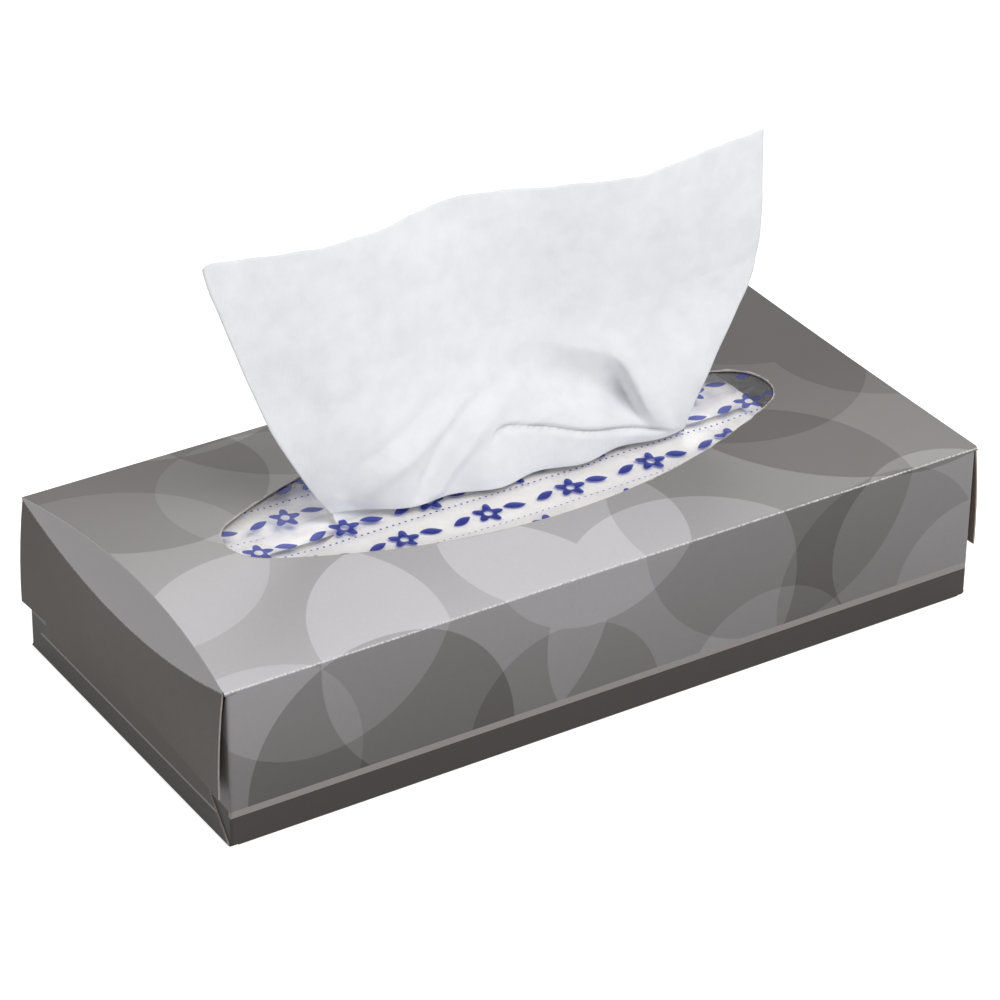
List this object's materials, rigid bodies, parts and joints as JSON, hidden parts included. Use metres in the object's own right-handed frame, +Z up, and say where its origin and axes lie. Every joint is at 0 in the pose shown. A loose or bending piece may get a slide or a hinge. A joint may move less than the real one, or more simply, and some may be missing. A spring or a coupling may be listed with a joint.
{
  "type": "tissue box",
  "caption": "Flat cardboard tissue carton with lens-shaped end folds, an oval opening with a slit clear film, and one white tissue drawn up through it.",
  "frame": {"origin": "middle of the carton's underside, where it rests", "axes": "+X along the carton's length, +Y towards its back, +Z up out of the opening"},
  "size_m": [0.2398, 0.112, 0.13],
  "materials": {
    "carton_board": "satin",
    "clear_film": "gloss",
    "tissue_paper": "matte"
  },
  "bodies": {
    "root": {"carton": "carton_board", "film_window": "clear_film", "tissue_stack": "tissue_paper", "popup_tissue": "tissue_paper"}
  },
  "joints": []
}
